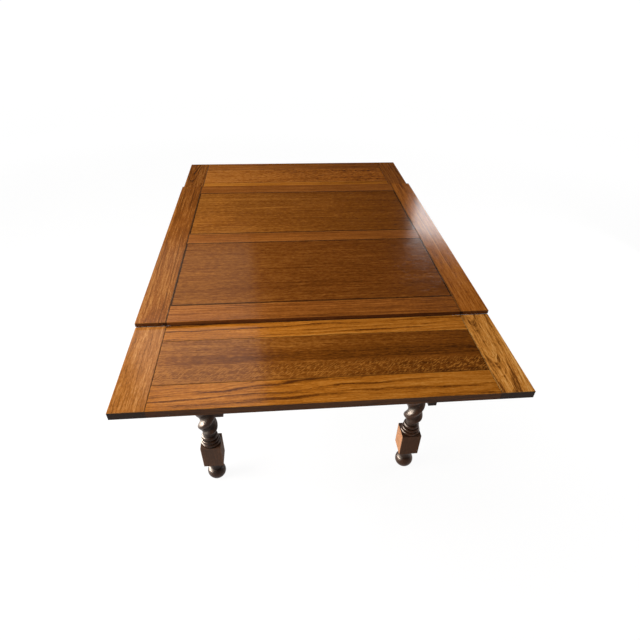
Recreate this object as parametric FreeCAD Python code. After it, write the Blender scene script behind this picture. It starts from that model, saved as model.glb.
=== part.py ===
# Draw-leaf table: a loose panelled top over two panelled leaves that draw out on tapered lopers,
# all carried by a rail frame on four barley twist legs.
# Millimetres, +Z up, origin on the floor under the middle of the table.
# X runs across the table and Y along the way the leaves are drawn; front is -Y and left is -X.
# The leaves are drawn out, and the loose top is lifted on its pegs just far enough to let them slide.
import FreeCAD, Part
import math
import os

Vector = FreeCAD.Vector

# Overall sizes
TABLE_HEIGHT = 762.0
TOP_WIDTH = 900.0
TOP_LENGTH = 900.0
LEAF_DEPTH = 289.0
TOP_THICK = 14.0
LEAF_THICK = 19.0
SEAM_GAP = 1.0
SLIDE_CLEARANCE = 0.5

# Framed and panelled boards
TOP_STILE_WIDTH = 75.0
TOP_END_RAIL_WIDTH = 72.0
TOP_MIDDLE_RAIL_WIDTH = 64.0
LEAF_STILE_WIDTH = 75.0
LEAF_INNER_RAIL_WIDTH = 62.0
LEAF_OUTER_RAIL_WIDTH = 75.0
TONGUE_LENGTH = 8.0
TONGUE_THICK = 4.5
TOP_TONGUE_DROP = 3.5
LEAF_TONGUE_DROP = 6.5
GROOVE_CLEARANCE = 0.15
JOINT_GAP = 0.3
PANEL_RELIEF = 2.0
ARRIS = 0.8

# Frame under the top
TOP_OVERHANG = 66.0
RAIL_THICK = 22.0
RAIL_DEPTH = 90.0
RAIL_SETBACK = 10.0
TENON_LENGTH = 26.0
TENON_THICK = 8.0
TENON_SHOULDER = 10.0
TENON_CLEARANCE = 0.1
BEARER_THICK = 20.0
BEARER_DEPTH = 70.0
BEARER_SPACING = 80.0
BEARER_TENON = 10.0
BRACE_REACH = 58.0
BRACE_HEIGHT = 40.0
BRACE_DROP = 6.0
BRACE_GAP = 0.2

# Lopers and their stops
LOPER_WIDTH = 18.0
LOPER_DEPTH = 34.0
LOPER_INSET = 121.0
LOPER_STEP = 20.0
LOPER_CLEARANCE = 0.4
LOPER_END_SETBACK = 11.0
LOPER_TAIL_PAST_BEARER = 10.0
STOP_PEG_DIAMETER = 8.0
STOP_PEG_REACH = 15.0
STOP_PEG_CLEARANCE = 0.3
PEG_FIT = 0.1

# Guide pegs of the loose top
GUIDE_PEG_DIAMETER = 18.0
GUIDE_PEG_SPREAD = 220.0
GUIDE_PEG_SOCKET = 9.0
GUIDE_PEG_CLEARANCE = 0.4
GUIDE_PEG_TAIL = 10.0
PIN_DIAMETER = 5.0
PIN_LENGTH = 40.0
LIFT_TRAVEL = 10.0
LIFT_CLEARANCE = 0.3

# Countersunk wood screws
SCREW_DIAMETER = 4.0
SCREW_HEAD_DIAMETER = 8.0
SCREW_LENGTH = 30.0
SCREW_POINT = 6.0
SCREW_BITE = 12.0
SCREW_FIT = 0.1
BOARD_SCREW_LENGTH = 45.0
BOARD_SCREW_SINK = 0.5
BOARD_SCREW_SPACING = 110.0

# Turned legs, heights measured along the leg
LEG_STOCK = 68.0
FOOT_DIAMETER = 65.0
FOOT_FLAT_DIAMETER = 20.0
FOOT_ZONE = 97.0
FOOT_NECK_DIAMETER = 42.0
FOOT_FLARE_DIAMETER = 60.0
LOWER_BLOCK_HEIGHT = 95.0
TOP_BLOCK_HEIGHT = 118.0
RING_DIAMETERS = (67.0, 60.0, 54.0)
RING_HEIGHTS = (14.0, 11.0, 18.0)
RING_ROUNDNESS = 0.9
NECK_HEIGHT = 8.0
TWIST_DIAMETER = 66.0
TWIST_WAIST = 42.0
TWIST_LEAD = 122.0
TWIST_FADE = 20.0
TWIST_PHASE = 90.0
TWIST_POLES_PER_TURN = 20
BLOCK_ARRIS = 1.2

# Heights and places that follow from the sizes above
draw_travel = LEAF_DEPTH + SEAM_GAP
climb = TOP_THICK + SLIDE_CLEARANCE
slope = climb / draw_travel
top_edge_thick = TOP_THICK - slope * TOP_END_RAIL_WIDTH
top_raised = top_edge_thick + SLIDE_CLEARANCE
leaf_under = TABLE_HEIGHT - LEAF_THICK
frame_top = leaf_under - climb - SLIDE_CLEARANCE
board_top = TABLE_HEIGHT - TOP_THICK - LIFT_CLEARANCE
leaf_inner = TOP_LENGTH / 2 + SEAM_GAP
leaf_outer = leaf_inner + LEAF_DEPTH
board_half = TOP_LENGTH / 2 - LEAF_DEPTH - SEAM_GAP
leg_x = TOP_WIDTH / 2 - TOP_OVERHANG - LEG_STOCK / 2
leg_y = TOP_LENGTH / 2 - TOP_OVERHANG - LEG_STOCK / 2
side_rail_outer = leg_x + LEG_STOCK / 2 - RAIL_SETBACK
side_rail_inner = side_rail_outer - RAIL_THICK
end_rail_outer = leg_y + LEG_STOCK / 2 - RAIL_SETBACK
end_rail_inner = end_rail_outer - RAIL_THICK
rail_bottom = frame_top - RAIL_DEPTH
bearer_inner = (BEARER_SPACING - BEARER_THICK) / 2
bearer_outer = (BEARER_SPACING + BEARER_THICK) / 2
loper_tail = bearer_inner - LOPER_TAIL_PAST_BEARER
stop_peg_place = end_rail_inner - STOP_PEG_CLEARANCE - STOP_PEG_DIAMETER / 2

SIDES = (("left", -1), ("right", 1))
ENDS = (("front", -1), ("back", 1))


def slab(x_pair, y_pair, z_pair):
    """A box between two X, two Y and two Z values, given in any order."""
    low = Vector(min(x_pair), min(y_pair), min(z_pair))
    high = Vector(max(x_pair), max(y_pair), max(z_pair))
    return Part.makeBox(high.x - low.x, high.y - low.y, high.z - low.z, low)


def rod(radius, start, direction, length):
    """A round bar from a start point along a direction."""
    return Part.makeCylinder(radius, length, start, direction)


def ease(shape, height, size):
    """Chamfers the straight edges that lie level at a height."""
    edges = [e for e in shape.Edges if all(abs(v.Z - height) < 0.001 for v in e.Vertexes)]
    return shape.makeChamfer(size, edges)


def prism_x(outline, x_low, x_high):
    """Extrudes a closed outline of (y, z) points along X."""
    points = [Vector(x_low, y, z) for y, z in outline]
    face = Part.Face(Part.makePolygon(points + points[:1]))
    return face.extrude(Vector(x_high - x_low, 0, 0))


def save(name, shape):
    """Writes one piece, or one group of like pieces, to its own file."""
    shape.exportStep("parts/" + name + ".step")


# Screws

def screw(length, grow=0.0):
    """A countersunk screw along +Z with its head's face at the origin; grow widens it into a hole."""
    shank = SCREW_DIAMETER / 2 + grow
    head = SCREW_HEAD_DIAMETER / 2 + grow
    profile = [
        Vector(0, 0, 0),
        Vector(head, 0, 0),
        Vector(shank, 0, head - shank),
        Vector(shank, 0, length - SCREW_POINT),
        Vector(0, 0, length + grow),
    ]
    face = Part.Face(Part.makePolygon(profile + profile[:1]))
    return face.revolve(Vector(0, 0, 0), Vector(0, 0, 1), 360)


def aimed(shape, place, direction):
    """Turns a shape that stands on +Z to a direction and moves it to a place."""
    turned = shape.copy()
    turned.Placement = FreeCAD.Placement(place, FreeCAD.Rotation(Vector(0, 0, 1), direction))
    return turned


def screw_hole(length, place, direction, access):
    """The hole for a screw, with a straight way for its head of a given length."""
    hole = aimed(screw(length, SCREW_FIT), place, direction)
    way = rod(SCREW_HEAD_DIAMETER / 2 + SCREW_FIT, place - direction * access, direction, access)
    return hole.fuse(way)


# Framed and panelled boards

def stile(x_outer, x_inner, y_pair, top, thick, drop):
    """A side member that runs the full length, grooved along its inner edge."""
    inward = 1 if x_inner > x_outer else -1
    body = ease(slab((x_outer, x_inner), y_pair, (top - thick, top)), top, ARRIS)
    depth = TONGUE_LENGTH + GROOVE_CLEARANCE
    groove_z = (top - drop + GROOVE_CLEARANCE, top - drop - TONGUE_THICK - GROOVE_CLEARANCE)
    groove = slab((x_inner - inward * depth, x_inner + inward), y_pair, groove_z)
    return body.cut(groove)


def rail(half_width, y_pair, top, thick, drop, grooved):
    """A cross member between the stiles, tenoned at both ends; grooved lists its panel edges."""
    shoulder = half_width - JOINT_GAP
    body = ease(slab((-shoulder, shoulder), y_pair, (top - thick, top)), top, ARRIS)
    tongue_z = (top - drop, top - drop - TONGUE_THICK)
    reach = half_width + TONGUE_LENGTH - GROOVE_CLEARANCE
    for direction in (-1, 1):
        body = body.fuse(slab((direction * shoulder, direction * reach), y_pair, tongue_z))
    depth = TONGUE_LENGTH + GROOVE_CLEARANCE
    groove_z = (tongue_z[0] + GROOVE_CLEARANCE, tongue_z[1] - GROOVE_CLEARANCE)
    for edge in grooved:
        inward = 1 if edge < sum(y_pair) / 2 else -1
        y_groove = (edge - inward, edge + inward * depth)
        body = body.cut(slab((-half_width * 2, half_width * 2), y_groove, groove_z))
    return body.removeSplitter()


def panel(half_width, y_pair, top, thick, drop):
    """A flush panel with a tongue on all four edges, thinner than its frame below."""
    low, high = min(y_pair), max(y_pair)
    core_x = half_width - JOINT_GAP
    core_y = (low + JOINT_GAP, high - JOINT_GAP)
    body = ease(slab((-core_x, core_x), core_y, (top - thick + PANEL_RELIEF, top)), top, ARRIS)
    reach = TONGUE_LENGTH - GROOVE_CLEARANCE
    tongue_x = half_width + reach
    tongue_y = (low - reach, high + reach)
    tongue = slab((-tongue_x, tongue_x), tongue_y, (top - drop, top - drop - TONGUE_THICK))
    return body.fuse(tongue).removeSplitter()


# Loose centre top, built seated and flush with the leaves

def top_relief():
    """The wedges planed off under both ends of the top, so that a leaf can start under it."""
    under = TABLE_HEIGHT - TOP_THICK
    edge = TOP_LENGTH / 2
    start = edge - TOP_END_RAIL_WIDTH
    wedges = []
    for _, end in ENDS:
        outline = [
            (end * start, under),
            (end * (edge + 1), under + slope * (TOP_END_RAIL_WIDTH + 1)),
            (end * (edge + 1), under - 1),
            (end * start, under - 1),
        ]
        wedges.append(prism_x(outline, -TOP_WIDTH, TOP_WIDTH))
    return Part.makeCompound(wedges)


def guide_peg_places():
    return [(name, Vector(side * GUIDE_PEG_SPREAD / 2, 0, 0)) for name, side in SIDES]


def centre_top():
    """All pieces of the loose top by name, lifted to where they stand at rest."""
    half = TOP_WIDTH / 2 - TOP_STILE_WIDTH
    end = TOP_LENGTH / 2
    end_rail = end - TOP_END_RAIL_WIDTH
    middle = TOP_MIDDLE_RAIL_WIDTH / 2
    board = (TABLE_HEIGHT, TOP_THICK, TOP_TONGUE_DROP)
    relief = top_relief()
    pieces = {}
    for name, side in SIDES:
        member = stile(side * TOP_WIDTH / 2, side * half, (-end, end), *board)
        pieces["top_stile_" + name] = member.cut(relief)
    for name, side in ENDS:
        member = rail(half, (side * end, side * end_rail), *board, [side * end_rail])
        pieces["top_rail_" + name] = member.cut(relief)
        pieces["top_panel_" + name] = panel(half, (side * middle, side * end_rail), *board)
    middle_rail = rail(half, (-middle, middle), *board, [-middle, middle])

    under = TABLE_HEIGHT - TOP_THICK
    radius = GUIDE_PEG_DIAMETER / 2
    pin_height = frame_top - LIFT_TRAVEL - LIFT_CLEARANCE - PIN_DIAMETER / 2 - top_raised
    peg_bottom = pin_height - GUIDE_PEG_TAIL
    pins = []
    for name, place in guide_peg_places():
        foot = place + Vector(0, 0, peg_bottom)
        peg = rod(radius, foot, Vector(0, 0, 1), under + GUIDE_PEG_SOCKET - peg_bottom)
        socket_height = GUIDE_PEG_SOCKET + PEG_FIT
        socket = rod(radius + PEG_FIT, place + Vector(0, 0, under), Vector(0, 0, 1), socket_height)
        middle_rail = middle_rail.cut(socket)
        pin_start = place + Vector(-PIN_LENGTH / 2, 0, pin_height)
        pins.append(rod(PIN_DIAMETER / 2, pin_start, Vector(1, 0, 0), PIN_LENGTH))
        hole = rod(PIN_DIAMETER / 2 + PEG_FIT, pin_start, Vector(1, 0, 0), PIN_LENGTH)
        pieces["guide_peg_" + name] = peg.cut(hole)
    pieces["top_rail_middle"] = middle_rail
    pieces["guide_peg_pins"] = Part.makeCompound(pins)
    for shape in pieces.values():
        shape.translate(Vector(0, 0, top_raised))
    return pieces


# Leaves and their lopers

def loper_top(distance):
    """Height of a loper's sloping upper edge at a distance from the middle of the table."""
    return frame_top - LOPER_CLEARANCE + slope * (distance - board_half)


def loper_outline(end):
    """A loper's side view: it slopes down inwards, and carries the leaf level at its outer end."""
    tip = leaf_outer - LOPER_END_SETBACK
    level_from = board_half + (leaf_under - frame_top + LOPER_CLEARANCE) / slope
    points = [
        (loper_tail, loper_top(loper_tail)),
        (level_from, leaf_under),
        (tip, leaf_under),
        (tip, loper_top(tip) - LOPER_DEPTH),
        (loper_tail, loper_top(loper_tail) - LOPER_DEPTH),
    ]
    return [(end * distance, height) for distance, height in points]


def loper_centre(end, side):
    """X of a loper: the back leaf's pair runs just inside the front leaf's pair."""
    inward = LOPER_STEP if end > 0 else 0.0
    return side * (side_rail_inner - LOPER_INSET - inward)


def loper_channel(end, side):
    """The sloping way that a loper runs in, open at the top, for cutting notches."""
    centre = loper_centre(end, side)
    half = LOPER_WIDTH / 2 + LOPER_CLEARANCE
    inner = loper_tail - draw_travel - LOPER_TAIL_PAST_BEARER
    outer = TOP_LENGTH / 2
    drop = LOPER_DEPTH + LOPER_CLEARANCE
    outline = [
        (end * inner, loper_top(inner) - drop),
        (end * outer, loper_top(outer) - drop),
        (end * outer, TABLE_HEIGHT),
        (end * inner, TABLE_HEIGHT),
    ]
    return prism_x(outline, centre - half, centre + half)


def all_channels():
    return Part.makeCompound([loper_channel(end, side) for _, end in ENDS for _, side in SIDES])


def leaf(end_name, end):
    """All pieces of one leaf by name, drawn out."""
    half = TOP_WIDTH / 2 - LEAF_STILE_WIDTH
    inner_rail = leaf_inner + LEAF_INNER_RAIL_WIDTH
    outer_rail = leaf_outer - LEAF_OUTER_RAIL_WIDTH
    board = (TABLE_HEIGHT, LEAF_THICK, LEAF_TONGUE_DROP)
    prefix = "leaf_" + end_name + "_"
    pieces = {}
    for name, side in SIDES:
        y_pair = (end * leaf_inner, end * leaf_outer)
        pieces[prefix + "stile_" + name] = stile(side * TOP_WIDTH / 2, side * half, y_pair, *board)
    inner = rail(half, (end * leaf_inner, end * inner_rail), *board, [end * inner_rail])
    outer = rail(half, (end * outer_rail, end * leaf_outer), *board, [end * outer_rail])
    pieces[prefix + "panel"] = panel(half, (end * inner_rail, end * outer_rail), *board)

    up = Vector(0, 0, 1)
    head_height = leaf_under + SCREW_BITE - SCREW_LENGTH
    screw_places = ((leaf_inner + inner_rail) / 2, (outer_rail + leaf_outer) / 2)
    stop_height = loper_top(stop_peg_place) - LOPER_DEPTH / 2
    screws = []
    stops = []
    for name, side in SIDES:
        centre = loper_centre(end, side)
        body = prism_x(loper_outline(end), centre - LOPER_WIDTH / 2, centre + LOPER_WIDTH / 2)
        for distance in screw_places:
            place = Vector(centre, end * distance, head_height)
            hole = screw_hole(SCREW_LENGTH, place, up, LOPER_DEPTH)
            body = body.cut(hole)
            inner = inner.cut(hole)
            outer = outer.cut(hole)
            screws.append(aimed(screw(SCREW_LENGTH), place, up))
        outward = -side * end
        aim = Vector(outward, 0, 0)
        start = Vector(centre - outward * LOPER_WIDTH / 2, end * stop_peg_place, stop_height)
        stops.append(rod(STOP_PEG_DIAMETER / 2, start, aim, LOPER_WIDTH + STOP_PEG_REACH))
        body = body.cut(rod(STOP_PEG_DIAMETER / 2 + PEG_FIT, start, aim, LOPER_WIDTH))
        pieces[prefix + "loper_" + name] = body
    pieces[prefix + "rail_inner"] = inner
    pieces[prefix + "rail_outer"] = outer
    pieces[prefix + "stop_pegs"] = Part.makeCompound(stops)
    pieces[prefix + "loper_screws"] = Part.makeCompound(screws)
    return pieces


# Legs

def lathe(start, steps):
    """Turns a profile about Z. A step is (radius, height), or (bulge radius, height, radius, height)."""
    edges = []
    here = start
    for step in steps:
        there = step[-2:]
        first = Vector(here[0], 0, here[1])
        last = Vector(there[0], 0, there[1])
        if len(step) == 4:
            edges.append(Part.Arc(first, Vector(step[0], 0, step[1]), last).toShape())
        else:
            edges.append(Part.makeLine(first, last))
        here = there
    face = Part.Face(Part.Wire(edges))
    return face.revolve(Vector(0, 0, 0), Vector(0, 0, 1), 360)


def ball_foot():
    """Ball foot with a small flat on the floor and a hollow neck that flares up to the square block."""
    ball = FOOT_DIAMETER / 2
    flat = FOOT_FLAT_DIAMETER / 2
    neck = FOOT_NECK_DIAMETER / 2
    flare = FOOT_FLARE_DIAMETER / 2
    centre = math.sqrt(ball ** 2 - flat ** 2)
    neck_low = centre + math.sqrt(ball ** 2 - neck ** 2)
    neck_middle = (neck_low + FOOT_ZONE) / 2
    return lathe((0, 0), [
        (flat, 0),
        (ball, centre, neck, neck_low),
        (neck + (flare - neck) / 4, neck_middle, flare, FOOT_ZONE),
        (0, FOOT_ZONE),
        (0, 0),
    ])


def ring_stack():
    """Rounded rings that step in from a square block to the neck of the twist."""
    steps = []
    height = 0.0
    for diameter, tall in zip(RING_DIAMETERS, RING_HEIGHTS):
        quirk = (diameter - RING_ROUNDNESS * tall) / 2
        steps.append((quirk, height))
        steps.append((diameter / 2, height + tall / 2, quirk, height + tall))
        height += tall
    steps.append((TWIST_WAIST / 2, height))
    steps.append((TWIST_WAIST / 2, height + NECK_HEIGHT))
    steps.append((0, height + NECK_HEIGHT))
    steps.append((0, 0))
    return lathe((0, 0), steps)


def barley_twist(length):
    """Two bines wound round a waist, as one closed spline surface that fades out at both ends."""
    rows = int(round(length / TWIST_LEAD * TWIST_POLES_PER_TURN)) + 1
    outset = (3 / (2 + math.cos(2 * math.pi / TWIST_POLES_PER_TURN))) ** 2
    poles = []
    for row in range(rows):
        height = length * row / (rows - 1)
        rise = min(1.0, height / TWIST_FADE, (length - height) / TWIST_FADE)
        swell = rise * rise * (3 - 2 * rise) * (TWIST_DIAMETER - TWIST_WAIST) / 2
        turn = math.radians(TWIST_PHASE) + 2 * math.pi * height / TWIST_LEAD
        ring = []
        for pole in range(TWIST_POLES_PER_TURN):
            angle = 2 * math.pi * pole / TWIST_POLES_PER_TURN
            radius = outset * (TWIST_WAIST / 2 + swell * (1 + math.cos(2 * angle)) / 2)
            ring.append(Vector(radius * math.cos(angle + turn), radius * math.sin(angle + turn), height))
        poles.append(ring)
    degree = 3
    spans = rows - degree
    row_knots = [knot / spans for knot in range(spans + 1)]
    row_repeats = [degree + 1] + [1] * (spans - 1) + [degree + 1]
    ring_knots = [knot / TWIST_POLES_PER_TURN for knot in range(TWIST_POLES_PER_TURN + 1)]
    ring_repeats = [1] * (TWIST_POLES_PER_TURN + 1)
    surface = Part.BSplineSurface()
    surface.buildFromPolesMultsKnots(
        poles, row_repeats, ring_repeats, row_knots, ring_knots, False, True, degree, degree
    )
    side = surface.toShape()
    caps = [Part.Face(Part.Wire([edge])) for edge in side.Edges if edge.isClosed()]
    shell = Part.makeShell([side] + caps)
    shell.sewShape()
    return Part.makeSolid(shell)


def square_block(low, high):
    """A plain length of the square stock with its upright corners eased."""
    half = LEG_STOCK / 2
    block = slab((-half, half), (-half, half), (low, high))
    upright = [e for e in block.Edges if abs(e.Vertexes[0].Z - e.Vertexes[1].Z) > 1]
    return block.makeChamfer(BLOCK_ARRIS, upright)


def leg_blank():
    """A leg on its own axis, turned and twisted, before its mortises are cut."""
    stack = ring_stack()
    stack_height = sum(RING_HEIGHTS) + NECK_HEIGHT
    block_top = FOOT_ZONE + LOWER_BLOCK_HEIGHT
    top_block = frame_top - TOP_BLOCK_HEIGHT
    twist_low = block_top + stack_height
    twist_high = top_block - stack_height
    lower_stack = stack.translated(Vector(0, 0, block_top))
    upper_stack = stack.mirror(Vector(0, 0, 0), Vector(0, 0, 1)).translated(Vector(0, 0, top_block))
    twist = barley_twist(twist_high - twist_low).translated(Vector(0, 0, twist_low))
    pieces = [
        square_block(FOOT_ZONE, block_top),
        lower_stack,
        twist,
        upper_stack,
        square_block(top_block, frame_top),
    ]
    return ball_foot().fuse(pieces)


# Rails, bearers and board

def frame_rail(half_span, inner, outer, along_x, side):
    """A rail between two legs with a tenon at each end, running along X or along Y."""
    middle = (inner + outer) / 2
    tenon_low = rail_bottom + TENON_SHOULDER
    tenon_high = frame_top - TENON_SHOULDER
    reach = half_span + TENON_LENGTH
    thick = (side * (middle - TENON_THICK / 2), side * (middle + TENON_THICK / 2))
    face = (side * inner, side * outer)
    if along_x:
        body = slab((-half_span, half_span), face, (rail_bottom, frame_top))
        return body.fuse(slab((-reach, reach), thick, (tenon_low, tenon_high))).removeSplitter()
    body = slab(face, (-half_span, half_span), (rail_bottom, frame_top))
    return body.fuse(slab(thick, (-reach, reach), (tenon_low, tenon_high))).removeSplitter()


def mortises(side_x, side_y):
    """The two sockets of one leg, for the side rail and for the end rail."""
    low = rail_bottom + TENON_SHOULDER - TENON_CLEARANCE
    high = frame_top - TENON_SHOULDER + TENON_CLEARANCE
    half = TENON_THICK / 2 + TENON_CLEARANCE
    x_face = leg_x - LEG_STOCK / 2
    y_face = leg_y - LEG_STOCK / 2
    deep = TENON_LENGTH + TENON_CLEARANCE
    x_mid = (side_rail_inner + side_rail_outer) / 2
    y_mid = (end_rail_inner + end_rail_outer) / 2
    x_pair = (side_x * (x_mid - half), side_x * (x_mid + half))
    y_pair = (side_y * (y_mid - half), side_y * (y_mid + half))
    x_deep = (side_x * (x_face - 1), side_x * (x_face + deep))
    y_deep = (side_y * (y_face - 1), side_y * (y_face + deep))
    sockets = [slab(x_pair, y_deep, (low, high)), slab(x_deep, y_pair, (low, high))]
    return Part.makeCompound(sockets)


def bearer(end):
    """A cross bearer under the centre board, stub tenoned into the side rails."""
    span = side_rail_inner + BEARER_TENON
    return slab((-span, span), (end * bearer_inner, end * bearer_outer), bearer_heights())


def bearer_heights():
    return (frame_top - BEARER_DEPTH, frame_top)


def bearer_socket(end):
    """The socket for both ends of a bearer in the side rails."""
    span = side_rail_inner + BEARER_TENON + TENON_CLEARANCE
    y_pair = (end * (bearer_inner - TENON_CLEARANCE), end * (bearer_outer + TENON_CLEARANCE))
    low, high = bearer_heights()
    return slab((-span, span), y_pair, (low - TENON_CLEARANCE, high + 1))


def corner_brace(side_x, side_y):
    """A brace across the angle of two rails, notched round the leg."""
    x_leg = leg_x - LEG_STOCK / 2 - BRACE_GAP
    y_leg = leg_y - LEG_STOCK / 2 - BRACE_GAP
    outline = [
        (side_rail_inner, y_leg - BRACE_REACH),
        (side_rail_inner, y_leg),
        (x_leg, y_leg),
        (x_leg, end_rail_inner),
        (x_leg - BRACE_REACH, end_rail_inner),
    ]
    low = frame_top - BRACE_DROP - BRACE_HEIGHT
    points = [Vector(side_x * x, side_y * y, low) for x, y in outline]
    face = Part.Face(Part.makePolygon(points + points[:1]))
    return face.extrude(Vector(0, 0, BRACE_HEIGHT))


def brace_screw_places(side_x, side_y):
    """Head and direction of the two screws of a brace, one into each rail."""
    height = frame_top - BRACE_DROP - BRACE_HEIGHT / 2
    middle = BRACE_REACH / 2 + BRACE_GAP
    x_leg = leg_x - LEG_STOCK / 2
    y_leg = leg_y - LEG_STOCK / 2
    x_head = side_rail_inner + SCREW_BITE - SCREW_LENGTH
    y_head = end_rail_inner + SCREW_BITE - SCREW_LENGTH
    into_side = Vector(side_x * x_head, side_y * (y_leg - middle), height)
    into_end = Vector(side_x * (x_leg - middle), side_y * y_head, height)
    return [(into_side, Vector(side_x, 0, 0)), (into_end, Vector(0, side_y, 0))]


def board_screw_places():
    """Heads of the screws that hold the centre board on the side rails."""
    x_mid = (side_rail_inner + side_rail_outer) / 2
    height = board_top - BOARD_SCREW_SINK
    rows = (-BOARD_SCREW_SPACING, 0.0, BOARD_SCREW_SPACING)
    return [Vector(side * x_mid, row, height) for _, side in SIDES for row in rows]


def frame():
    """All pieces of the fixed frame by name."""
    pieces = {}
    blank = leg_blank()
    down = Vector(0, 0, -1)
    board_holes = []
    for place in board_screw_places():
        board_holes.append(screw_hole(BOARD_SCREW_LENGTH, place, down, BOARD_SCREW_SINK + 1))
    brace_screws = []
    brace_holes = []
    for end_name, end in ENDS:
        for side_name, side in SIDES:
            leg = blank.translated(Vector(side * leg_x, end * leg_y, 0))
            pieces["leg_" + end_name + "_" + side_name] = leg.cut(mortises(side, end))
            brace = corner_brace(side, end)
            for place, aim in brace_screw_places(side, end):
                hole = screw_hole(SCREW_LENGTH, place, aim, BRACE_REACH)
                brace_holes.append(hole)
                brace_screws.append(aimed(screw(SCREW_LENGTH), place, aim))
                brace = brace.cut(hole)
            pieces["corner_brace_" + end_name + "_" + side_name] = brace
    pieces["corner_brace_screws"] = Part.makeCompound(brace_screws)

    channels = all_channels()
    holes = Part.makeCompound(board_holes + brace_holes)
    sockets = Part.makeCompound([bearer_socket(end) for _, end in ENDS])
    x_span = leg_x - LEG_STOCK / 2
    y_span = leg_y - LEG_STOCK / 2
    for name, side in SIDES:
        member = frame_rail(y_span, side_rail_inner, side_rail_outer, False, side)
        pieces["side_rail_" + name] = member.cut(sockets).cut(holes)
    for name, end in ENDS:
        member = frame_rail(x_span, end_rail_inner, end_rail_outer, True, end)
        own = Part.makeCompound([loper_channel(end, side) for _, side in SIDES])
        pieces["end_rail_" + name] = member.cut(own).cut(holes)
        pieces["bearer_" + name] = bearer(end).cut(channels)

    heights = (frame_top, board_top)
    board = slab((-side_rail_outer, side_rail_outer), (-board_half, board_half), heights)
    board = ease(board, board_top, ARRIS).cut(Part.makeCompound(board_holes))
    for _, place in guide_peg_places():
        radius = GUIDE_PEG_DIAMETER / 2 + GUIDE_PEG_CLEARANCE
        board = board.cut(rod(radius, place + Vector(0, 0, frame_top - 1), Vector(0, 0, 1), TABLE_HEIGHT))
    pieces["centre_board"] = board
    board_screws = [aimed(screw(BOARD_SCREW_LENGTH), place, down) for place in board_screw_places()]
    pieces["centre_board_screws"] = Part.makeCompound(board_screws)
    return pieces


def main():
    os.makedirs("parts", exist_ok=True)
    pieces = frame()
    pieces.update(centre_top())
    for name, end in ENDS:
        pieces.update(leaf(name, end))
    for name, shape in pieces.items():
        save(name, shape)
    print("top raised at rest", round(top_raised, 4), "climb", climb, "travel", draw_travel)


main()
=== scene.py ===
import math
from typing import NamedTuple

import bmesh
import bpy
from mathutils import Matrix, Vector


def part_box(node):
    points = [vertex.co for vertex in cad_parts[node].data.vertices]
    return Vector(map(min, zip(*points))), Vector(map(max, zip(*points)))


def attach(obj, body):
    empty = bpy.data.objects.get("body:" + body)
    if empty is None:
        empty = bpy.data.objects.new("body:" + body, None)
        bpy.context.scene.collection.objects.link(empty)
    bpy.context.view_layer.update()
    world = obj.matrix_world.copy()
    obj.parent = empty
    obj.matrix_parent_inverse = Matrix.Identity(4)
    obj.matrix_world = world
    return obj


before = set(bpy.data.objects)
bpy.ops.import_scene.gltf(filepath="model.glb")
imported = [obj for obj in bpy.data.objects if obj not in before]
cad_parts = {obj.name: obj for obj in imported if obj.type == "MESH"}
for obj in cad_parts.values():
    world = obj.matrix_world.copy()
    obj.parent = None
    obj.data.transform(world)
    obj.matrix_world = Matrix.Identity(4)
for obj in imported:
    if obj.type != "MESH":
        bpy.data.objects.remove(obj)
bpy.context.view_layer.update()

bl_info = {
    "name": "Draw-leaf table",
    "version": (1, 0, 0),
    "blender": (4, 5, 0),
    "location": "View3D > Sidebar > Table",
    "description": "Dresses a draw-leaf table with barley twist legs in varnished oak",
    "category": "Object",
}

SIDES = ("left", "right")
ENDS = ("front", "back")
CORNERS = [(end, side) for end in ENDS for side in SIDES]
MILLIMETRE = 0.001


# Kinds of settings that the user can change

def linear(*levels):
    """A screen colour, 0 to 255, as the linear colour that a shader takes."""
    shares = [level / 255 for level in levels]
    return tuple(s / 12.92 if s <= 0.04045 else ((s + 0.055) / 1.055) ** 2.4 for s in shares)


def colour(name, description, *levels):
    """A colour, written as it looks on a screen."""
    return bpy.props.FloatVectorProperty(
        name=name, description=description, subtype="COLOR", size=3, min=0, max=1, default=linear(*levels)
    )


def length(name, description, default):
    """A length in metres."""
    return bpy.props.FloatProperty(name=name, description=description, default=default, unit="LENGTH")


def angle(name, description, degrees):
    """An angle, written in degrees."""
    return bpy.props.FloatProperty(
        name=name, description=description, default=math.radians(degrees), subtype="ANGLE"
    )


def power(name, description, default):
    """A lamp's power in watts."""
    return bpy.props.FloatProperty(name=name, description=description, default=default, unit="POWER")


def share(name, description, default):
    """A plain factor."""
    return bpy.props.FloatProperty(name=name, description=description, default=default, min=0, soft_max=1)


# Settings

# Where each stain is used, and its dark grain, ground colour and palest streaks
STAINS = {
    "stile": ("the centre top's and the far leaf's left stile", (82, 44, 13), (134, 74, 23), (178, 120, 58)),
    "tan": ("the near leaf's left stile", (104, 60, 24), (158, 97, 40), (192, 134, 74)),
    "honey": ("the near leaf's right stile", (100, 54, 16), (198, 128, 52), (224, 168, 94)),
    "rail": ("the near leaf's rails and far leaf's inner rail", (84, 42, 8), (167, 98, 26), (194, 128, 52)),
    "russet": (
        "the centre top's rails and the far leaf's right stile and outer rail",
        (74, 35, 10), (136, 76, 25), (170, 104, 44),
    ),
    "chestnut": (
        "the far leaf's panel and the centre top's right stile", (80, 39, 10), (157, 88, 26), (186, 118, 50)
    ),
    "umber": ("the centre top's front panel", (56, 27, 5), (111, 59, 16), (150, 92, 34)),
    "panel": ("the near leaf's and the centre top's back panel", (62, 30, 6), (121, 66, 16), (168, 106, 40)),
    "leg": ("the legs, frame rails, lopers and joint pegs", (26, 16, 10), (48, 29, 18), (80, 52, 34)),
    "inner": ("the wood inside and the undersides", (74, 50, 28), (128, 92, 56), (160, 122, 80)),
}
LEVELS = {"dark": "Dark grain", "mid": "Ground colour", "light": "Palest streaks"}


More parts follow.
